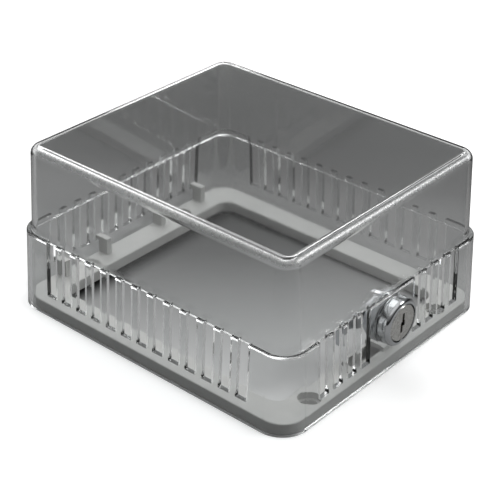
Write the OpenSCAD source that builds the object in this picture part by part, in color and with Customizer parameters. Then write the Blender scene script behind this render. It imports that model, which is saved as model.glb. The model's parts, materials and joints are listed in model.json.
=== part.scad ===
// Lock box for a wall thermostat: a clear moulded cover hooks over a mounting ring
// and a key-operated cam lock holds its other side down. Millimetres, +Z out of the wall,
// lock towards -Y, hooks towards +Y, origin at the middle of the overall box on the wall.

/* [Cover] */
// Width of the cover at its rim
cover_w = 146; // [136:0.5:180]
// Depth of the cover at its rim, from the lock side to the hook side
cover_d = 165; // [155:0.5:200]
// Height of the top face above the wall
cover_h = 81.5; // [70:0.5:110]
// Height of the ledge above the wall
ledge_z = 39.4; // [39.2:0.1:48]
// Gap between the rim and the wall
rim_gap = 0.4; // [0.2:0.1:0.8]
// Corner radius of the rim
rim_r = 13.6; // [13:0.1:16]
// Wall of the skirt
skirt_wall = 2.2; // [1.8:0.1:2.4]
// How far the skirt's face sets back between rim and ledge
skirt_setback = 1.9; // [1.2:0.1:2.2]
// Width of the ledge seen from above
ledge_w = 2.3; // [2.1:0.1:2.8]
// Thickness of the ledge
ledge_wall = 2.2; // [1.6:0.1:2.6]
// Wall of the upper box
upper_wall = 2.2; // [1.8:0.1:2.4]
// How far the upper box's face sets back between ledge and top
upper_setback = 2.1; // [1.2:0.1:2.6]
// Thickness of the top face
top_wall = 2.4; // [1.8:0.1:2.8]
// Radius of the rounded edge round the top face
top_r = 4.4; // [3.4:0.1:5]
// Radius of the rounded edge round the ledge
ledge_r = 0.6; // [0.3:0.1:1]

/* [Vents] */
// Width of one vent slot
slot_w = 6; // [4.5:0.1:6.6]
// Distance from one slot to the next
slot_pitch = 9.525; // [9:0.005:9.6]
// Height of the slots' lower ends above the wall
slot_z = 11.3; // [9.5:0.1:12.5]
// Number of slots on each long side
side_slots = 13; // [5:2:13]
// Number of places for slots on each short side
end_slots = 11; // [11:2:11]
// Places left without a slot round the lock
lock_gap_slots = 3; // [3:2:5]

/* [Mounting ring] */
// Gap between the ring and the inside of the rim
ring_gap = 1.25; // [1:0.05:1.6]
// Height of the ring
ring_h = 5.3; // [5:0.1:6]
// Width of the ring's side arms
side_arm_w = 12; // [11:0.5:16]
// Width of the ring's end arms
end_arm_w = 13; // [12.5:0.5:14]
// Corner radius of the ring's window
window_r = 7.5; // [5:0.5:10]
// Thickness of the ring's upper web
web = 2.6; // [2.2:0.1:2.8]
// Thickness of the ring's down-turned rims
ring_rim = 1.8; // [1.4:0.1:2]
// Radius of the rounded edges of the ring's top
ring_edge_r = 0.6; // [0.3:0.1:0.8]
// Distance between the two screw holes on the lock side
lock_side_hole_span = 92; // [80:0.5:100]
// Distance between the two screw holes on the hook side
hook_side_hole_span = 63.5; // [60:0.5:70]
// Diameter of the screw holes
screw_hole_d = 6; // [4.6:0.1:6.4]
// Diameter of the recess for a screw's head
head_recess_d = 8.8; // [8:0.1:9]
// Depth of the recess for a screw's head
head_recess_depth = 3.2; // [2.6:0.1:3.4]
// Thickness of a hook lug
lug_t = 3; // [2.4:0.1:3.6]
// Depth of a hook lug
lug_d = 6; // [5:0.1:7]
// Thickness of the nose that reaches through a slot
nose_t = 2; // [1.6:0.1:2.6]

/* [Lock] */
// Height of the lock's axis above the wall
lock_z = 26.2; // [26:0.1:26.5]
// Diameter of the lock's head
head_d = 22.4; // [21.5:0.1:23]
// Length of the lock's head
head_h = 5.4; // [5:0.1:6.5]
// Diameter of the lock's barrel
barrel_d = 19; // [18.6:0.1:19.4]
// Distance across the barrel's two flats
barrel_flats = 16.4; // [16.2:0.1:17]
// Length of the barrel behind the head
barrel_h = 8.5; // [8.5:0.1:9]
// Diameter of the plug's core
plug_d = 12.4; // [12.2:0.1:12.6]
// Diameter of the plug's face
plug_face_d = 17.4; // [16.8:0.1:17.6]
// Number of wafers
wafer_count = 5; // [5:1:5]
// Distance from one wafer to the next
wafer_pitch = 1.8; // [1.75:0.01:1.85]
// Thickness of a wafer
wafer_t = 1; // [0.8:0.05:1]
// How far a wafer springs out of the plug
wafer_throw = 0.8; // [0.5:0.1:0.8]
// Thickness of the cam
cam_t = 2; // [1.6:0.1:2.2]
// Height of the keeper bar's underside above the wall
keeper_z = 5; // [4.9:0.02:5.1]

/* [Hidden] */
$fn = 96;

// How far a cutting shape runs past what it cuts
overrun = 1;
// How far a joined shape reaches into its neighbour
root = 0.4;
// Clearance of a shaft in its bore, on the radius
running = 0.05;
// Clearance of a flat part in its slot or seat, on each side
slip = 0.05;
// Clearance between parts that pass each other
pass_gap = 0.25;

// Cover: insets from the rim's outline, at a height
skirt_slope = skirt_setback/(ledge_z - rim_gap);
function skirt_inset(z) = skirt_slope*(z - rim_gap);
upper_inset = skirt_setback + ledge_w;
upper_slope = upper_setback/(cover_h - ledge_z);

// Lock seat on the cover: a flat disc that meets the leaning wall at the lock's height
nut_washer_rim = 1.1;
nut_washer_r = barrel_d/2 + nut_washer_rim;
seat_margin = 0.3;
boss_r = max(head_d/2, nut_washer_r) + seat_margin;
boss_h = 3.3;
seat_inset = skirt_inset(lock_z);
seat_y = -(cover_d/2 - seat_inset);
lock_front_y = seat_y - head_h;
// The overall box runs from the lock's face to the rim of the hook side
origin_y = -(lock_front_y + cover_d/2)/2;

// Mounting ring
ring_inset = skirt_wall + ring_gap;
ring_w = cover_w - 2*ring_inset;
ring_d = cover_d - 2*ring_inset;
ring_r = rim_r - ring_inset;
window_w = ring_w - 2*side_arm_w;
window_d = ring_d - 2*end_arm_w;
channel_h = ring_h - web;
hole_y = ring_d/2 - end_arm_w/2;
// The four screw places, as X and Y
screw_places = [
    [-lock_side_hole_span/2, -hole_y],
    [lock_side_hole_span/2, -hole_y],
    [-hook_side_hole_span/2, hole_y],
    [hook_side_hole_span/2, hole_y]
];
screw_boss_wall = 1.8;
screw_boss_r = head_recess_d/2 + screw_boss_wall;
rib_t = 1.6;
side_rib_shares = [-0.66, -0.33, 0, 0.33, 0.66];
end_rib_share = 0.38;
// Slots, counted from the middle one, that the hook lugs reach through
lug_slots = [-5, -2, 2, 5];
nose_gap = 0.5;
nose_z = slot_z + nose_gap;
lug_top = nose_z + nose_t;
nose_inset = 0.3;
nose_y = cover_d/2 - skirt_inset(lug_top) - nose_inset;

// Lock, measured along its axis from the front of the boss: outwards is positive
head_round = 1.9;
face_recess_gap = 0.35;
face_recess_r = plug_face_d/2 + face_recess_gap;
face_recess_depth = 1.9;
plug_face_t = 1.6;
plug_sink = 0.2;
plug_edge = 0.35;
plug_front = head_h - plug_sink;
core_front = plug_front - plug_face_t;
collar_h = 0.8;
stop_gap = 0.1;
core_back = -(barrel_h + stop_gap);
stop_t = 0.9;
cam_front = core_back - stop_t;
cam_back = cam_front - cam_t;
cam_washer_t = 0.6;
cam_washer_back = cam_back - cam_washer_t;
nut_washer_t = 0.8;
nut_t = 4;
nut_wall = 1;
nut_sides = 6;
nut_af = barrel_d + 2*nut_wall;
// Wafers
wafer_front = 2.8;
wafer_gap = 0.05;
wafer_left = 3.3;
wafer_right = 2.5;
wafer_r = plug_d/2 - slip;
wafer_window_w = 2.7;
wafer_window_h = 6.6;
ear_w = 1.7;
ear_t = 1.2;
ear_y = 0.4;
spring_x = 3.45;
spring_r = 0.5;
spring_wire_r = 0.12;
spring_turns = 4;
coil_sides = 6;
coil_rings_per_turn = 8;
coil_rings = coil_rings_per_turn*spring_turns;
spring_drop = 3;
broach_gap = 0.3;
broach_lead = 0.15;
broach_front = wafer_front + broach_lead;
broach_r = plug_d/2 + wafer_throw + broach_gap;
retainer_z = wafer_front - wafer_t/2 - wafer_count*wafer_pitch;
retainer_out = 0.9;
retainer_groove_t = 1.4;
retainer_groove_r = plug_d/2 + retainer_out + broach_gap;
// Key slot: two straight runs with an offset middle
key_w = 1.5;
key_h = 9.4;
key_ward_w = 2.6;
key_ward_h = 2.4;
key_ward_x = 0.35;
key_ward_drop = 0.4;
key_offset = 0.45;
key_depth = 11;
// Tail, stop and cam
tail_w = 7;
tail_short = 0.1;
screw_r = 2;
screw_hole_lead = 1;
screw_hole_front = core_back + screw_hole_lead;
screw_head_r = 3.8;
screw_head_h = 2.2;
screw_cross_w = 1;
screw_cross_l = 4.4;
screw_cross_depth = 1.2;
washer_slit = 0.5;
stop_clear = 0.3;
collar_r = barrel_flats/2 - stop_clear;
stop_r = collar_r - stop_clear;
stop_tab_r = barrel_d/2 - stop_clear;
stop_tab_w = 4;
stop_rest_angle = 45;
stop_window_half_angle = 62;
tooth_count = 12;
tooth_gap_w = 1.4;
tooth_gap_l = 0.7;
// The cam's finger sweeps between two circles round the lock's axis
wall_clear = 0.7;
finger_t = 1.6;
finger_reach = 6.3;
finger_outer_r = lock_z - wall_clear;
finger_inner_r = finger_outer_r - finger_t;
cam_hub_r = 7.4;
cam_trail = 5;
cam_lead = 0.6;
throat_top = 2.7;
shoulder_x = 5.4;
shoulder_y = 4;
// Room round the finger's sweep
keeper_gap = 1.85;
keeper_bar_t = 2.4;
keeper_pad_w = 8.8;
keeper_pad_l = 11;
web_drop = lock_z - ring_h;
keeper_x0 = -sqrt(pow(finger_outer_r, 2) - pow(web_drop, 2)) - keeper_gap;
keeper_x1 = cam_lead + keeper_gap;
keeper_pocket_x1 = finger_reach + keeper_gap;
keeper_y = seat_y - (cam_front + cam_back)/2;
// The slot's inner edge is flush with the ring's inner rim
keeper_slot_w = 2*(-window_d/2 - ring_rim - keeper_y);

// A rounded rectangle about the middle
module plate_outline(w, d, r) {
    square([w - 2*r, d], center = true);
    square([w, d - 2*r], center = true);
    for (x = [-1, 1], y = [-1, 1])
        translate([x*(w/2 - r), y*(d/2 - r)])
            circle(r = r);
}

// Carries a section, drawn as distance out from the corner's centre and height, round a w by d outline
module swept_round(w, d, r) {
    for (side = [0, 1]) {
        rotate(180*side)
            translate([w/2 - r, d/2 - r, 0])
                rotate([90, 0, 0])
                    linear_extrude(height = d - 2*r)
                        children();
        rotate(180*side + 90)
            translate([d/2 - r, w/2 - r, 0])
                rotate([90, 0, 0])
                    linear_extrude(height = w - 2*r)
                        children();
    }
    for (x = [-1, 1], y = [-1, 1])
        translate([x*(w/2 - r), y*(d/2 - r), 0])
            rotate(atan2(y, x) - 45)
                rotate_extrude(angle = 90)
                    children();
}

// The quarter of a disc on the outer, upper side of its centre
module quarter_disc(r) {
    intersection() {
        circle(r = r);
        square([r + overrun, r + overrun]);
    }
}

// Section of a leaning wall, inset from the rim at base_z, that turns into a flat top with a round
module box_section(inset, base_z, foot_z, top, slope, r) {
    slope_length = sqrt(1 + slope*slope);
    centre_inset = inset + slope*(top - r - base_z) + r*slope_length;
    polygon([
        [0, foot_z],
        [rim_r - inset + slope*(base_z - foot_z), foot_z],
        [rim_r - centre_inset + r/slope_length, top - r + slope*r/slope_length],
        [rim_r - centre_inset, top - r],
        [rim_r - centre_inset, top],
        [0, top]
    ]);
    translate([rim_r - centre_inset, top - r])
        quarter_disc(r);
}

// Section of the whole cover from the corner's centre line outwards
module cover_section() {
    difference() {
        union() {
            box_section(upper_inset, ledge_z, ledge_z - ledge_wall, cover_h, upper_slope, top_r);
            box_section(0, rim_gap, rim_gap, ledge_z, skirt_slope, ledge_r);
        }
        box_section(
            upper_inset + upper_wall,
            ledge_z,
            ledge_z - ledge_wall,
            cover_h - top_wall,
            upper_slope,
            top_r - top_wall
        );
        polygon([
            [0, rim_gap - overrun],
            [rim_r - skirt_wall + skirt_inset(rim_gap + overrun), rim_gap - overrun],
            [rim_r - skirt_wall - skirt_inset(ledge_z - ledge_wall), ledge_z - ledge_wall],
            [0, ledge_z - ledge_wall]
        ]);
    }
}

// One row of slots along X, cut from outside up to the face of the upper box
module slot_row(count, skip, half_depth) {
    for (i = [0:count - 1])
        if (abs(i - (count - 1)/2) > (skip - 1)/2)
            translate([
                (i - (count - 1)/2)*slot_pitch - slot_w/2,
                -half_depth - overrun,
                slot_z
            ])
                cube([slot_w, upper_inset + overrun, ledge_z - slot_z + overrun]);
}

// Puts a shape in the shared frame
module placed() {
    translate([0, origin_y, 0])
        children();
}

// Puts a shape on the lock's axis: X right, Y up and Z out of the box, from the front of the boss
module on_lock_axis() {
    placed()
        translate([0, seat_y, lock_z])
            rotate([90, 0, 0])
                children();
}

// A slice of the lock's length, from one height to a lower one
module lock_slice(from, to) {
    translate([0, 0, to])
        linear_extrude(height = from - to)
            children();
}

module cover() {
    color([0.55, 0.56, 0.57, 0.35])
        placed()
            difference() {
                union() {
                    swept_round(cover_w, cover_d, rim_r)
                        cover_section();
                    translate([-(cover_w/2 - rim_r), -(cover_d/2 - rim_r), cover_h - top_wall])
                        cube([cover_w - 2*rim_r, cover_d - 2*rim_r, top_wall]);
                    translate([0, seat_y, lock_z])
                        rotate([-90, 0, 0])
                            cylinder(r = boss_r, h = boss_h);
                }
                translate([0, seat_y, lock_z])
                    rotate([90, 0, 0])
                        cylinder(r = boss_r, h = skirt_setback + overrun);
                slot_row(end_slots, lock_gap_slots, cover_d/2);
                rotate(180)
                    slot_row(end_slots, 0, cover_d/2);
                rotate(90)
                    slot_row(side_slots, 0, cover_w/2);
                rotate(-90)
                    slot_row(side_slots, 0, cover_w/2);
                translate([0, seat_y, lock_z])
                    rotate([90, 0, 0])
                        lock_slice(overrun, -boss_h - overrun)
                            barrel_outline(slip);
            }
}

// A hook lug's side view, drawn as Y and Z
module lug_profile() {
    polygon([
        [ring_d/2 - lug_d, ring_h - ring_edge_r - root],
        [ring_d/2, ring_h - ring_edge_r - root],
        [ring_d/2, nose_z],
        [nose_y, nose_z],
        [nose_y, lug_top - nose_t/2],
        [nose_y - nose_t/2, lug_top],
        [ring_d/2 - lug_d, lug_top]
    ]);
}

// The ring's whole plate, with its top edge rounded
module ring_plate() {
    swept_round(ring_w, ring_d, ring_r) {
        square([ring_r, ring_h - ring_edge_r]);
        square([ring_r - ring_edge_r, ring_h]);
        translate([ring_r - ring_edge_r, ring_h - ring_edge_r])
            quarter_disc(ring_edge_r);
    }
    translate([-(ring_w/2 - ring_r), -(ring_d/2 - ring_r), 0])
        cube([ring_w - 2*ring_r, ring_d - 2*ring_r, ring_h]);
}

// What the window takes out of the plate, so that its top edge is left rounded
module ring_window() {
    swept_round(window_w, window_d, window_r) {
        translate([0, -overrun])
            square([window_r, ring_h + 2*overrun]);
        difference() {
            translate([0, ring_h - ring_edge_r])
                square([window_r + ring_edge_r, ring_edge_r + overrun]);
            translate([window_r + ring_edge_r, ring_h - ring_edge_r])
                circle(r = ring_edge_r);
        }
    }
    translate([-(window_w/2 - window_r), -(window_d/2 - window_r), -overrun])
        cube([window_w - 2*window_r, window_d - 2*window_r, ring_h + 2*overrun]);
}

module ring_base() {
    color([0.72, 0.72, 0.70])
        placed()
            difference() {
                union() {
                    difference() {
                        ring_plate();
                        ring_window();
                        translate([0, 0, -overrun])
                            linear_extrude(height = channel_h + overrun)
                                difference() {
                                    plate_outline(ring_w - 2*ring_rim, ring_d - 2*ring_rim, ring_r - ring_rim);
                                    plate_outline(window_w + 2*ring_rim, window_d + 2*ring_rim, window_r + ring_rim);
                                }
                    }
                    for (place = screw_places)
                        translate(place)
                            cylinder(r = screw_boss_r, h = channel_h + root);
                    ring_ribs();
                    translate([keeper_x1 - root, keeper_y - keeper_pad_w/2, ring_h - root])
                        cube([keeper_pad_l, keeper_pad_w, keeper_z + keeper_bar_t - ring_h + root]);
                    for (i = lug_slots)
                        translate([i*slot_pitch - lug_t/2, 0, 0])
                            rotate([90, 0, 90])
                                linear_extrude(height = lug_t)
                                    lug_profile();
                }
                for (place = screw_places)
                    translate(place) {
                        translate([0, 0, -overrun])
                            cylinder(d = screw_hole_d, h = ring_h + 2*overrun);
                        translate([0, 0, ring_h - head_recess_depth])
                            cylinder(d = head_recess_d, h = head_recess_depth + overrun);
                    }
                translate([keeper_x0, keeper_y - keeper_slot_w/2, -overrun])
                    cube([keeper_x1 - keeper_x0, keeper_slot_w, keeper_z + keeper_bar_t + 2*overrun]);
                translate([keeper_x0, keeper_y - keeper_slot_w/2, -overrun])
                    cube([keeper_pocket_x1 - keeper_x0, keeper_slot_w, keeper_z + overrun]);
            }
}

// Cross ribs in the ring's hollow underside
module ring_ribs() {
    for (side = [-1, 1], share = side_rib_shares)
        translate([side*(ring_w - side_arm_w)/2, share*window_d/2, (channel_h + root)/2])
            cube([side_arm_w - ring_rim, rib_t, channel_h + root], center = true);
    for (x = [-1, 1], y = [-1, 1])
        translate([x*end_rib_share*window_w/2, y*(ring_d - end_arm_w)/2, (channel_h + root)/2])
            cube([rib_t, end_arm_w - ring_rim, channel_h + root], center = true);
}

// Round barrel with two flats, grown by a clearance
module barrel_outline(clear) {
    intersection() {
        circle(d = barrel_d + 2*clear);
        square([barrel_flats + 2*clear, barrel_d + 2*clear + 2*overrun], center = true);
    }
}

// Half section of the lock's head, turned about its axis
module head_section() {
    polygon([
        [0, 0],
        [head_d/2, 0],
        [head_d/2, head_h - head_round],
        [head_d/2 - head_round, head_h - head_round],
        [head_d/2 - head_round, head_h],
        [0, head_h]
    ]);
    translate([head_d/2 - head_round, head_h - head_round])
        quarter_disc(head_round);
}

module lock_body() {
    color([0.80, 0.81, 0.82])
        on_lock_axis()
            difference() {
                union() {
                    rotate_extrude()
                        head_section();
                    lock_slice(0, -barrel_h - collar_h)
                        barrel_outline(0);
                }
                lock_slice(head_h + overrun, head_h - face_recess_depth)
                    circle(r = face_recess_r);
                lock_slice(head_h, -barrel_h - overrun)
                    circle(d = plug_d + 2*running);
                // Four grooves, for the wafers at both ends of the plug's turn
                lock_slice(broach_front, -barrel_h - overrun)
                    for (turn = [0, 90])
                        rotate(turn)
                            intersection() {
                                circle(r = broach_r);
                                square([2*(wafer_left + broach_gap), 2*broach_r], center = true);
                            }
                lock_slice(retainer_z + retainer_groove_t/2, retainer_z - retainer_groove_t/2)
                    circle(r = retainer_groove_r);
                lock_slice(-barrel_h, -barrel_h - collar_h - overrun)
                    union() {
                        circle(r = collar_r);
                        polygon([
                            [0, 0],
                            [barrel_d*cos(90 - stop_window_half_angle), barrel_d*sin(90 - stop_window_half_angle)],
                            [0, 2*barrel_d],
                            [-barrel_d*cos(90 - stop_window_half_angle), barrel_d*sin(90 - stop_window_half_angle)]
                        ]);
                    }
            }
}

// Key slot seen from the front
module key_outline() {
    translate([key_offset, key_h/4])
        square([key_w, key_h/2], center = true);
    translate([-key_offset, -key_h/4])
        square([key_w, key_h/2], center = true);
    translate([key_ward_x, -key_ward_drop])
        square([key_ward_w, key_ward_h], center = true);
}

// Where one wafer's slot and ear cut the plug, seen from the front
module wafer_slot_outline() {
    translate([-wafer_left - slip, -plug_d])
        square([wafer_left + wafer_right + 2*slip, 2*plug_d]);
    translate([0, -spring_drop])
        square([
            wafer_right + ear_w + slip + pass_gap/2,
            spring_drop + ear_y + ear_t + wafer_throw + pass_gap
        ]);
}

module lock_plug() {
    color([0.62, 0.62, 0.60])
        on_lock_axis()
            difference() {
                union() {
                    lock_slice(plug_front - plug_edge, core_front)
                        circle(d = plug_face_d);
                    translate([0, 0, plug_front - plug_edge])
                        cylinder(d1 = plug_face_d, d2 = plug_face_d - 2*plug_edge, h = plug_edge);
                    lock_slice(core_front, core_back)
                        circle(d = plug_d);
                    lock_slice(core_back, cam_back + tail_short)
                        square(tail_w, center = true);
                }
                lock_slice(plug_front + overrun, plug_front - key_depth)
                    key_outline();
                for (i = [0:wafer_count - 1])
                    lock_slice(wafer_z(i) + wafer_t/2 + wafer_gap, wafer_z(i) - wafer_t/2 - wafer_gap)
                        wafer_slot_outline();
                lock_slice(retainer_z + wafer_t/2 + wafer_gap, retainer_z - wafer_t/2 - wafer_gap)
                    wafer_slot_outline();
                lock_slice(screw_hole_front, cam_back)
                    circle(r = screw_r);
            }
}

// Heights of the wafers' middles along the lock, front one first
function wafer_z(i) = wafer_front - wafer_t/2 - i*wafer_pitch;

// Flat wafer with a window for the key and an ear for its spring
module wafer_blank(reach) {
    difference() {
        union() {
            intersection() {
                circle(r = reach);
                translate([-wafer_left, -wafer_r])
                    square([wafer_left + wafer_right, wafer_r + reach]);
                translate([-plug_d, -sqrt(pow(wafer_r, 2) - pow(wafer_left, 2))])
                    square([2*plug_d, 2*plug_d]);
            }
            translate([wafer_right - root, ear_y])
                square([ear_w + root, ear_t]);
        }
        square([wafer_window_w, wafer_window_h], center = true);
    }
}

module wafer(i) {
    color([0.80, 0.66, 0.36])
        on_lock_axis()
            lock_slice(wafer_z(i) + wafer_t/2, wafer_z(i) - wafer_t/2)
                wafer_blank(wafer_r);
}

module wafer_1() {
    wafer(0);
}

module wafer_2() {
    wafer(1);
}

module wafer_3() {
    wafer(2);
}

module wafer_4() {
    wafer(3);
}

module wafer_5() {
    wafer(4);
}

module retaining_wafer() {
    color([0.80, 0.66, 0.36])
        on_lock_axis()
            lock_slice(retainer_z + wafer_t/2, retainer_z - wafer_t/2)
                wafer_blank(plug_d/2 + retainer_out);
}

// Points of a round wire's rings along a coil that stands on Y
function coil_point(turn, side) =
    let (
        a = 360*turn,
        b = 360/coil_sides*side,
        r = spring_r - spring_wire_r + spring_wire_r*cos(b),
        rise = ear_y + spring_drop - 2*slip - 2*spring_wire_r
    )
    [
        r*cos(a),
        slip + spring_wire_r + rise*turn/spring_turns + spring_wire_r*sin(b),
        r*sin(a)
    ];

module spring_at(z) {
    points = [for (i = [0:coil_rings], s = [0:coil_sides - 1]) coil_point(i*spring_turns/coil_rings, s)];
    last = coil_rings*coil_sides;
    walls = [for (i = [0:coil_rings - 1], s = [0:coil_sides - 1], half = [0, 1])
        let (
            near = i*coil_sides + s,
            near_next = i*coil_sides + (s + 1)%coil_sides,
            far = near + coil_sides,
            far_next = near_next + coil_sides
        )
        half == 0 ? [near, near_next, far_next] : [near, far_next, far]
    ];
    color([0.70, 0.71, 0.73])
        on_lock_axis()
            translate([spring_x, -spring_drop, z])
                polyhedron(
                    points = points,
                    faces = concat(
                        walls,
                        [[for (s = [coil_sides - 1:-1:0]) s]],
                        [[for (s = [0:coil_sides - 1]) last + s]]
                    )
                );
}

module wafer_spring_1() {
    spring_at(wafer_z(0));
}

module wafer_spring_2() {
    spring_at(wafer_z(1));
}

module wafer_spring_3() {
    spring_at(wafer_z(2));
}

module wafer_spring_4() {
    spring_at(wafer_z(3));
}

module wafer_spring_5() {
    spring_at(wafer_z(4));
}

module retaining_spring() {
    spring_at(retainer_z);
}

module nut_washer() {
    color([0.66, 0.67, 0.69])
        on_lock_axis()
            lock_slice(-boss_h, -boss_h - nut_washer_t)
                difference() {
                    circle(r = nut_washer_r);
                    circle(d = barrel_d + 2*slip);
                    for (i = [0:tooth_count - 1])
                        rotate(i*360/tooth_count)
                            translate([nut_washer_r - tooth_gap_l, -tooth_gap_w/2])
                                square([tooth_gap_l + overrun, tooth_gap_w]);
                }
}

module mounting_nut() {
    color([0.66, 0.67, 0.69])
        on_lock_axis()
            lock_slice(-boss_h - nut_washer_t, -boss_h - nut_washer_t - nut_t)
                difference() {
                    circle(d = nut_af/cos(180/nut_sides), $fn = nut_sides);
                    circle(d = barrel_d + 2*slip);
                }
}

module stop_washer() {
    color([0.66, 0.67, 0.69])
        on_lock_axis()
            lock_slice(core_back, core_back - stop_t)
                difference() {
                    union() {
                        circle(r = stop_r);
                        rotate(stop_rest_angle)
                            translate([0, -stop_tab_w/2])
                                square([stop_tab_r, stop_tab_w]);
                    }
                    square(tail_w + 2*slip, center = true);
                }
}

// The cam as it lies when locked: arm down, finger towards +X
module cam_outline() {
    difference() {
        union() {
            circle(r = cam_hub_r);
            intersection() {
                circle(r = finger_outer_r);
                polygon([
                    [shoulder_x, -shoulder_y],
                    [cam_lead, throat_top - web_drop],
                    [cam_lead, -finger_outer_r],
                    [-cam_trail, -finger_outer_r],
                    [-cam_trail, -shoulder_y],
                    [0, 0]
                ]);
            }
            intersection() {
                difference() {
                    circle(r = finger_outer_r);
                    circle(r = finger_inner_r);
                }
                translate([-cam_trail, -finger_outer_r])
                    square([finger_reach + cam_trail, finger_reach]);
            }
        }
        square(tail_w + 2*slip, center = true);
    }
}

module cam() {
    color([0.70, 0.71, 0.73])
        on_lock_axis()
            lock_slice(cam_front, cam_back)
                rotate(-90)
                    cam_outline();
}

module cam_washer() {
    color([0.66, 0.67, 0.69])
        on_lock_axis()
            lock_slice(cam_back, cam_washer_back)
                difference() {
                    circle(r = screw_head_r);
                    circle(r = screw_r + slip);
                    translate([0, -washer_slit/2])
                        square([screw_head_r + overrun, washer_slit]);
                }
}

module cam_screw() {
    color([0.66, 0.67, 0.69])
        on_lock_axis()
            difference() {
                union() {
                    lock_slice(cam_washer_back, cam_washer_back - screw_head_h)
                        circle(r = screw_head_r);
                    lock_slice(screw_hole_front - pass_gap, cam_washer_back - root)
                        circle(r = screw_r - running);
                }
                lock_slice(cam_washer_back - screw_head_h + screw_cross_depth, cam_washer_back - screw_head_h - overrun)
                    union() {
                        square([screw_cross_l, screw_cross_w], center = true);
                        square([screw_cross_w, screw_cross_l], center = true);
                    }
            }
}

cover();
ring_base();
lock_body();
lock_plug();
wafer_1();
wafer_2();
wafer_3();
wafer_4();
wafer_5();
wafer_spring_1();
wafer_spring_2();
wafer_spring_3();
wafer_spring_4();
wafer_spring_5();
retaining_wafer();
retaining_spring();
nut_washer();
mounting_nut();
stop_washer();
cam();
cam_washer();
cam_screw();
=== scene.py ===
"""A clear lock box for a wall thermostat, dressed and lit as in a studio picture."""
import json
import math
import bpy
from mathutils import Matrix, Vector


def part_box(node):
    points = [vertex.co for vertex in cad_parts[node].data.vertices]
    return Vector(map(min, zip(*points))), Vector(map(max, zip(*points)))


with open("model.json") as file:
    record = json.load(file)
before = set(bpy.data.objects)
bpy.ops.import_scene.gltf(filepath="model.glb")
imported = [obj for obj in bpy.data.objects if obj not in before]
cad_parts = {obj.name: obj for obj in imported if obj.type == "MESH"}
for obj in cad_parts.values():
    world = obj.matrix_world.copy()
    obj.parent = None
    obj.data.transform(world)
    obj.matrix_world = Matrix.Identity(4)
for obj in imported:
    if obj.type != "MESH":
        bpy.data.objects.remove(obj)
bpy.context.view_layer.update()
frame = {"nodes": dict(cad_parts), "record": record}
nodes = frame["nodes"]
MM = 0.001


# Colours and nodes

WHITE = "#FFFFFF"
# A colour Mix node has sockets for every kind of data, so its own go by number
MIX_SHARE, MIX_FIRST, MIX_SECOND, MIX_COLOUR = 0, 6, 7, 2
# Noise lies mostly between these
FROM_NOISE = {"From Min": 0.3, "From Max": 0.7}


def linear(hex_code):
    """An sRGB hex colour as linear RGBA."""
    parts = [int(hex_code[i:i + 2], 16) / 255 for i in (1, 3, 5)]
    return [p / 12.92 if p <= 0.04045 else ((p + 0.055) / 1.055) ** 2.4 for p in parts] + [1.0]


def per_metre(size_mm):
    """The scale at which a pattern repeats about every size_mm."""
    return 1 / (size_mm * MM)


def add(tree, kind, inputs=None, **settings):
    """A new node with its settings. inputs maps a socket, by name or by number where names repeat,
    to a value, a hex colour or the socket that feeds it."""
    node = tree.nodes.new(kind)
    for name, value in settings.items():
        setattr(node, name, value)
    for name, value in (inputs or {}).items():
        if isinstance(value, bpy.types.NodeSocket):
            tree.links.new(value, node.inputs[name])
        else:
            node.inputs[name].default_value = linear(value) if isinstance(value, str) else value
    return node


def spread_tones(ramp, tones):
    """The colour of a ramp that passes through tones, each a share of the way and a hex colour."""
    stops = ramp.color_ramp.elements
    # Where a new stop starts doesn't matter, because each one is moved to its share
    while len(stops) < len(tones):
        stops.new(0.5)
    for stop, (at, tone) in zip(stops, tones):
        stop.position = at
        stop.color = linear(tone)
    return ramp.outputs["Color"]


def new_material(name):
    """An empty material with its node tree and the position on the piece in metres."""
    material = bpy.data.materials.new(name)
    material.use_nodes = True
    tree = material.node_tree
    tree.nodes.clear()
    place = add(tree, "ShaderNodeTexCoord").outputs["Object"]
    return material, tree, place


# Materials

PLASTIC_IOR = 1.58
PLASTIC_TINT = "#F2F3F3"
# What the plastic leaves of a lamp's light
PASSING_TINT = "#F4F5F5"
WAVE_MM = 18
WAVE_DEPTH_MM = 0.05
WAVE_STRENGTH = 0.35
HAZE_MM = 2.5
HAZE_ROUGHNESS = (0.015, 0.05)
# On a rounded edge the normal points up by about EDGE_UP. The finish is whole within the first
# difference from it and gone at the second
EDGE_UP = 0.6
EDGE_FADE = (0.2, 0.38)
EDGE_ROUGHNESS = 0.24
# The middle of the ledge above the wall, and how far from it its finish is whole and gone
LEDGE_MM = 38.4
LEDGE_FADE_MM = (1.7, 2.1)
LEDGE_ROUGHNESS = 0.1


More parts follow.
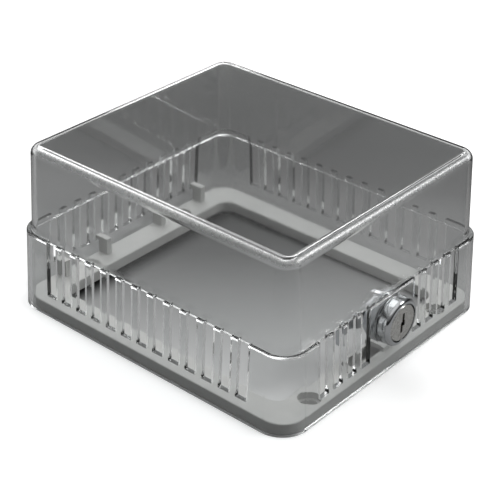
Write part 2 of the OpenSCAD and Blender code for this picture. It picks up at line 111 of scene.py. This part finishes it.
def smoked_polycarbonate():
    """Injection-moulded polycarbonate, smoked grey. Flow in the mould leaves it very slightly wavy,
    and handling leaves faint haze, so its highlights break up a little. The mould's rounded edges
    and its ledge are less polished than its faces, so they are satin. Lamps reach what it covers."""
    material, tree, place = new_material("smoked_polycarbonate")
    waves = add(tree, "ShaderNodeTexNoise",
                {"Vector": place, "Scale": per_metre(WAVE_MM), "Detail": 1.0}).outputs["Fac"]
    wavy = add(tree, "ShaderNodeBump", {
        "Height": waves, "Distance": WAVE_DEPTH_MM * MM,
        "Strength": WAVE_STRENGTH}).outputs["Normal"]
    haze = add(tree, "ShaderNodeTexNoise",
               {"Vector": place, "Scale": per_metre(HAZE_MM), "Detail": 4.0}).outputs["Fac"]
    polish = add(tree, "ShaderNodeMapRange", {
        "Value": haze, **FROM_NOISE,
        "To Min": HAZE_ROUGHNESS[0], "To Max": HAZE_ROUGHNESS[1]}).outputs["Result"]

    facing = add(tree, "ShaderNodeTexCoord").outputs["Normal"]
    upward = add(tree, "ShaderNodeSeparateXYZ", {"Vector": facing}).outputs["Z"]
    slant = add(tree, "ShaderNodeMath", {0: upward, 1: EDGE_UP}, operation="SUBTRACT").outputs[0]
    off_edge = add(tree, "ShaderNodeMath", {0: slant}, operation="ABSOLUTE").outputs[0]
    edge = add(tree, "ShaderNodeMapRange", {
        "Value": off_edge, "From Min": EDGE_FADE[1], "From Max": EDGE_FADE[0],
        "To Min": 0.0, "To Max": EDGE_ROUGHNESS}).outputs["Result"]

    height = add(tree, "ShaderNodeSeparateXYZ", {"Vector": place}).outputs["Z"]
    above = add(tree, "ShaderNodeMath", {0: height, 1: LEDGE_MM * MM},
                operation="SUBTRACT").outputs[0]
    off_ledge = add(tree, "ShaderNodeMath", {0: above}, operation="ABSOLUTE").outputs[0]
    ledge = add(tree, "ShaderNodeMapRange", {
        "Value": off_ledge, "From Min": LEDGE_FADE_MM[1] * MM, "From Max": LEDGE_FADE_MM[0] * MM,
        "To Min": 0.0, "To Max": LEDGE_ROUGHNESS}).outputs["Result"]

    satin = add(tree, "ShaderNodeMath", {0: edge, 1: ledge}, operation="MAXIMUM").outputs[0]
    glass = add(tree, "ShaderNodeBsdfPrincipled", {
        "Base Color": PLASTIC_TINT,
        "Transmission Weight": 1.0,
        "IOR": PLASTIC_IOR,
        "Roughness": add(tree, "ShaderNodeMath", {0: polish, 1: satin}, operation="ADD").outputs[0],
        "Normal": wavy,
    }).outputs["BSDF"]
    passing = add(tree, "ShaderNodeBsdfTransparent", {"Color": PASSING_TINT}).outputs["BSDF"]
    ray = add(tree, "ShaderNodeLightPath").outputs
    from_lamp = add(tree, "ShaderNodeMath", {0: ray["Is Shadow Ray"], 1: ray["Is Diffuse Ray"]},
                    operation="MAXIMUM").outputs[0]
    mixed = add(tree, "ShaderNodeMixShader",
                {0: from_lamp, 1: glass, 2: passing}).outputs["Shader"]
    add(tree, "ShaderNodeOutputMaterial", {"Surface": mixed})
    return material


def plain_surface(name, colours, rough, blob_mm, grit_mm, grit_depth_mm, metallic=0.0):
    """A solid surface: colour in soft blobs, roughness that varies with them, and fine grit."""
    material, tree, place = new_material(name)
    blobs = add(tree, "ShaderNodeTexNoise",
                {"Vector": place, "Scale": per_metre(blob_mm), "Detail": 3.0}).outputs["Fac"]
    grit = add(tree, "ShaderNodeTexNoise",
               {"Vector": place, "Scale": per_metre(grit_mm), "Detail": 2.0}).outputs["Fac"]
    share = add(tree, "ShaderNodeMapRange", {"Value": blobs, **FROM_NOISE}).outputs["Result"]
    surface = add(tree, "ShaderNodeBsdfPrincipled", {
        "Base Color": add(tree, "ShaderNodeMix", {
            MIX_SHARE: share, MIX_FIRST: colours[0], MIX_SECOND: colours[1]},
            data_type="RGBA").outputs[MIX_COLOUR],
        "Metallic": metallic,
        "Roughness": add(tree, "ShaderNodeMapRange", {
            "Value": blobs, **FROM_NOISE, "To Min": rough[0], "To Max": rough[1]}).outputs["Result"],
        "Normal": add(tree, "ShaderNodeBump", {
            "Height": grit, "Distance": grit_depth_mm * MM, "Strength": 1.0}).outputs["Normal"],
    })
    add(tree, "ShaderNodeOutputMaterial", {"Surface": surface.outputs["BSDF"]})
    return material


def finishes():
    """Each material slot of the record with its dressed material."""
    return {
        "clear_grey_plastic": smoked_polycarbonate(),
        # Moulded ABS with an even fine texture: satin, no sharp reflections
        "light_grey_plastic": plain_surface(
            "moulded_abs", colours=("#BABAB8", "#C3C3C1"), rough=(0.42, 0.55),
            blob_mm=9, grit_mm=0.35, grit_depth_mm=0.01),
        # Bright chrome over a die casting: mirror-like, with the casting's faint ripple
        "chrome_plated_zinc": plain_surface(
            "chrome_on_die_casting", colours=("#B4B6B8", "#C1C3C5"), rough=(0.07, 0.16),
            blob_mm=3, grit_mm=1.6, grit_depth_mm=0.006, metallic=1.0),
        # Tumbled nickel: duller than the chrome round it
        "nickel_plated_zinc": plain_surface(
            "tumbled_nickel", colours=("#B2B1AE", "#C4C3C0"), rough=(0.2, 0.34),
            blob_mm=2, grit_mm=0.6, grit_depth_mm=0.006, metallic=1.0),
        # Zinc plate on pressed steel: greyish, patchy, half dull
        "zinc_plated_steel": plain_surface(
            "zinc_plated_steel", colours=("#A9ABAE", "#BFC1C4"), rough=(0.28, 0.42),
            blob_mm=2.5, grit_mm=0.5, grit_depth_mm=0.008, metallic=1.0),
        # Drawn wire: smooth and even, with a soft shine
        "spring_steel": plain_surface(
            "drawn_spring_wire", colours=("#A8AAAD", "#B8BABD"), rough=(0.2, 0.3),
            blob_mm=1, grit_mm=0.3, grit_depth_mm=0.003, metallic=1.0),
        # Brass blanked from sheet: yellow, half dull
        "brass": plain_surface(
            "blanked_brass", colours=("#C9A85E", "#D8B970"), rough=(0.25, 0.38),
            blob_mm=2, grit_mm=0.4, grit_depth_mm=0.005, metallic=1.0),
    }


def dress():
    """Gives every CAD node the finish of its slot."""
    made = finishes()
    for part in frame["record"]["subparts"]:
        piece = nodes[part["node"]]
        piece.data.materials.clear()
        piece.data.materials.append(made[part["material_slot"]])


# Camera

CAMERA_MM = Vector((-424.6, -355.73, 361.1))
LOOKS_AT_MM = Vector((-20.27, -14.89, 43.8))
CAMERA_ROLL_DEG = 1.07
LENS_MM = 100.57
SENSOR_MM = 36
NEAREST_MM = 10


def place_camera():
    """A long lens from above the corner between the lock's side and the left side."""
    data = bpy.data.cameras.new("camera")
    data.lens = LENS_MM
    data.sensor_width = SENSOR_MM
    data.clip_start = NEAREST_MM * MM
    camera = bpy.data.objects.new("camera", data)
    bpy.context.scene.collection.objects.link(camera)
    forward = (LOOKS_AT_MM - CAMERA_MM).normalized()
    level_right = forward.cross(Vector((0, 0, 1))).normalized()
    level_up = level_right.cross(forward)
    roll = math.radians(CAMERA_ROLL_DEG)
    right = level_right * math.cos(roll) + level_up * math.sin(roll)
    up = level_up * math.cos(roll) - level_right * math.sin(roll)
    turn = Matrix((right, up, -forward)).transposed().to_4x4()
    camera.matrix_world = Matrix.Translation(CAMERA_MM * MM) @ turn
    bpy.context.scene.camera = camera


# Floor and board, in metres

FLOOR_HALF = 4.0
FLOOR_DROP = 0.0004
BOARD_DROP = 0.0002
BOARD_INSET = 0.006


def flat_sheet(name, corners, z, material):
    """A level rectangle between two corners, which belongs to the studio."""
    (x0, y0), (x1, y1) = corners
    mesh = bpy.data.meshes.new(name)
    mesh.from_pydata([(x0, y0, z), (x1, y0, z), (x1, y1, z), (x0, y1, z)], [], [(0, 1, 2, 3)])
    mesh.materials.append(material)
    sheet = bpy.data.objects.new(name, mesh)
    bpy.context.scene.collection.objects.link(sheet)


# Tones of the board at shares of the way from the corner behind to the corner in front, painted
# shade that is dark behind and light in front
BOARD_PAINTED_SHADE_TONES = ((0.1, "#4C4C4C"), (0.3, "#6E6E6E"), (0.5, "#9C9C9C"), (0.7, "#BCBCBC"),
               (0.92, "#DADADA"))
# From the ring's box to its window, on the right and behind
RING_ARMS_MM = (12, 15.5)
# The painted shadow along the ring's arms: its tone, and the width over which it fades out
PAINTED_SHADOW_TONE = "#141414"
PAINTED_SHADOW_MM = 13
# How many times narrower the painted shadow on the right is in front than behind
PAINTED_SHADOW_TAPER = 5.0


def board_with_painted_shade(low, high):
    """Matte grey board with painted shade: darker behind, and darkest along the ring's arms on the
    right and behind, a painted shadow such as a ring whose far side isn't pressed down throws."""
    material, tree, place = new_material("grey_board_painted_shade")
    axes = add(tree, "ShaderNodeSeparateXYZ", {"Vector": place}).outputs
    # Painted shade: the tone runs from light at the corner in front to dark at the corner behind
    across, along = [add(tree, "ShaderNodeMapRange", {
        "Value": axes[i], "From Min": high[i], "From Max": low[i]}).outputs["Result"]
        for i in (0, 1)]
    both = add(tree, "ShaderNodeMath", {0: across, 1: along}, operation="ADD").outputs[0]
    share = add(tree, "ShaderNodeMath", {0: both, 1: 0.5}, operation="MULTIPLY").outputs[0]
    tones = spread_tones(add(tree, "ShaderNodeValToRGB", {"Fac": share}), BOARD_PAINTED_SHADE_TONES)

    # Painted shadow along the ring's arms on the right and behind, narrowing towards the front on
    # the right
    to_right, behind = [add(tree, "ShaderNodeMath", {0: high[i] - RING_ARMS_MM[i] * MM, 1: axes[i]},
                            operation="SUBTRACT").outputs[0] for i in (0, 1)]
    taper = add(tree, "ShaderNodeMapRange",
                {"Value": along, "To Min": 1.0, "To Max": PAINTED_SHADOW_TAPER}).outputs["Result"]
    tapered = add(tree, "ShaderNodeMath", {0: to_right, 1: taper}, operation="MULTIPLY").outputs[0]
    nearest = add(tree, "ShaderNodeMath", {0: tapered, 1: behind}, operation="MINIMUM").outputs[0]
    clear = add(tree, "ShaderNodeMapRange",
                {"Value": nearest, "From Min": 0.0, "From Max": PAINTED_SHADOW_MM * MM},
                interpolation_type="SMOOTHSTEP").outputs["Result"]
    colour = add(tree, "ShaderNodeMix",
                 {MIX_SHARE: clear, MIX_FIRST: PAINTED_SHADOW_TONE, MIX_SECOND: tones},
                 data_type="RGBA").outputs[MIX_COLOUR]
    paint = add(tree, "ShaderNodeBsdfDiffuse", {"Color": colour}).outputs["BSDF"]
    add(tree, "ShaderNodeOutputMaterial", {"Surface": paint})
    return material


# The paper darkens to the right and behind as painted shade, as a place's product with this way goes
# from the first value to the second
PAPER_WAY = (1.0, 0.6, 0.0)
PAPER_FROM = -0.1
PAPER_TO = 0.3
# Tones of the paper along that way: painted shade, light in front and dark behind
PAPER_PAINTED_SHADE_TONES = ((0.12, "#B0B0B0"), (0.28, "#A8A8A8"), (0.46, "#868686"), (0.56, "#808080"),
               (0.63, "#6C6C6C"), (0.75, "#626262"))
# The paper as it lights the object from below
PAPER_UNDER = "#484848"
# Added to the lit white: little near the object, so that its shadow shows, and full far away,
# where the lamps don't reach
GLOW_NEAR = 0.2
GLOW_FAR = 1.0
# Distances from the middle of the object between which the floor turns white through the plastic
FAR_FROM = 0.3
FAR_TO = 0.8


def seen_white(tree, ray, far):
    """1 for rays that find the surroundings white: those from the camera, and, where far is 1,
    those that come through the plastic."""
    through = add(tree, "ShaderNodeMath", {0: ray["Is Transmission Ray"], 1: far},
                  operation="MULTIPLY").outputs[0]
    return add(tree, "ShaderNodeMath", {0: ray["Is Camera Ray"], 1: through},
               operation="MAXIMUM").outputs[0]


def cut_out_floor():
    """Paper that is grey to the object, and white where the camera sees it directly, or far away
    through the plastic, as when a picture's surroundings are cut out. The grey is painted shade,
    light in front and darker behind, and sends little light back, so sides that face away from the
    lamps stay dark. The white near the object is mostly lit by the lamps, so it keeps a soft shadow."""
    material, tree, place = new_material("studio_floor")
    ray = add(tree, "ShaderNodeLightPath").outputs
    # Painted shade: the grey darkens to the right and behind
    reach = add(tree, "ShaderNodeVectorMath", {0: place, 1: PAPER_WAY},
                operation="DOT_PRODUCT").outputs["Value"]
    share = add(tree, "ShaderNodeMapRange", {
        "Value": reach, "From Min": PAPER_FROM, "From Max": PAPER_TO}).outputs["Result"]
    tones = spread_tones(add(tree, "ShaderNodeValToRGB", {"Fac": share}), PAPER_PAINTED_SHADE_TONES)
    tone = add(tree, "ShaderNodeMix",
               {MIX_SHARE: ray["Is Diffuse Ray"], MIX_FIRST: tones, MIX_SECOND: PAPER_UNDER},
               data_type="RGBA").outputs[MIX_COLOUR]
    paper = add(tree, "ShaderNodeBsdfDiffuse", {"Color": tone}).outputs["BSDF"]

    away = add(tree, "ShaderNodeVectorMath", {0: place}, operation="LENGTH").outputs["Value"]
    far = add(tree, "ShaderNodeMapRange",
              {"Value": away, "From Min": FAR_FROM, "From Max": FAR_TO}).outputs["Result"]
    strength = add(tree, "ShaderNodeMapRange",
                   {"Value": far, "To Min": GLOW_NEAR, "To Max": GLOW_FAR}).outputs["Result"]
    lit = add(tree, "ShaderNodeBsdfDiffuse", {"Color": WHITE}).outputs["BSDF"]
    glow = add(tree, "ShaderNodeEmission",
               {"Color": WHITE, "Strength": strength}).outputs["Emission"]
    white = add(tree, "ShaderNodeAddShader", {0: lit, 1: glow}).outputs["Shader"]
    mixed = add(tree, "ShaderNodeMixShader",
                {0: seen_white(tree, ray, far), 1: paper, 2: white}).outputs["Shader"]
    add(tree, "ShaderNodeOutputMaterial", {"Surface": mixed})
    return material


def lay_floor():
    """A wide floor, and on it a grey board with painted shade and a painted shadow, just smaller
    than the ring, which stands for the surface that the ring goes round: it shows only through the
    ring's window."""
    flat_sheet("floor", ((-FLOOR_HALF, -FLOOR_HALF), (FLOOR_HALF, FLOOR_HALF)), -FLOOR_DROP,
               cut_out_floor())
    low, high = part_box("ring_base")
    flat_sheet("studio_board", ((low[0] + BOARD_INSET, low[1] + BOARD_INSET),
                                (high[0] - BOARD_INSET, high[1] - BOARD_INSET)), -BOARD_DROP,
               board_with_painted_shade(low, high))


# Light

# Tones of the surroundings at heights, from the horizon at 0 to overhead at 1
WORLD_TONES = ((0.0, "#2A2A2A"), (0.2, "#343434"), (0.45, "#808080"), (0.62, "#909090"),
               (0.8, WHITE))
WORLD_STRENGTH = 0.95
# Heights between which the surroundings turn white through the plastic too
BACKDROP_TOP = 0.42
BACKDROP_FULL = 0.25

# Where the lamps point, and each one's place, width and height in metres and power in watts: one
# above and behind, one on the right for the metal, and a low one that draws the far edges
LIT_PLACE = (0, 0, 0.04)
LAMPS = {
    "overhead_box": ((0.3, 0.8, 1.15), 1.1, 1.1, 6),
    "front_box": ((0.9, -0.9, 0.9), 0.5, 0.5, 9),
    "rim_strip": ((1.05, 1.05, 0.4), 0.4, 0.5, 1.8),
}


def light_surroundings():
    """Surroundings that are bright above and dark at the horizon to the object, white to the
    camera, and white low down through the plastic."""
    world = bpy.data.worlds.new("studio")
    bpy.context.scene.world = world
    world.use_nodes = True
    tree = world.node_tree
    tree.nodes.clear()
    way = add(tree, "ShaderNodeTexCoord").outputs["Generated"]
    height = add(tree, "ShaderNodeSeparateXYZ", {"Vector": way}).outputs["Z"]
    tones = spread_tones(add(tree, "ShaderNodeValToRGB", {"Fac": height}), WORLD_TONES)
    air = add(tree, "ShaderNodeBackground",
              {"Color": tones, "Strength": WORLD_STRENGTH}).outputs["Background"]
    white = add(tree, "ShaderNodeBackground",
                {"Color": WHITE, "Strength": 1.0}).outputs["Background"]
    low = add(tree, "ShaderNodeMapRange", {
        "Value": height, "From Min": BACKDROP_TOP, "From Max": BACKDROP_FULL}).outputs["Result"]
    seen = seen_white(tree, add(tree, "ShaderNodeLightPath").outputs, low)
    mixed = add(tree, "ShaderNodeMixShader", {0: seen, 1: air, 2: white}).outputs["Shader"]
    add(tree, "ShaderNodeOutputWorld", {"Surface": mixed})


def set_lamps():
    """Round soft boxes, turned to the object."""
    for name, (at, width, height, power) in LAMPS.items():
        data = bpy.data.lights.new(name, "AREA")
        data.shape = "ELLIPSE"
        data.size = width
        data.size_y = height
        data.energy = power
        box = bpy.data.objects.new(name, data)
        bpy.context.scene.collection.objects.link(box)
        box.location = at
        box.rotation_euler = (Vector(LIT_PLACE) - Vector(at)).to_track_quat("-Z", "Y").to_euler()


bpy.context.scene.view_settings.view_transform = "Standard"
place_camera()
dress()
lay_floor()
light_surroundings()
set_lamps()
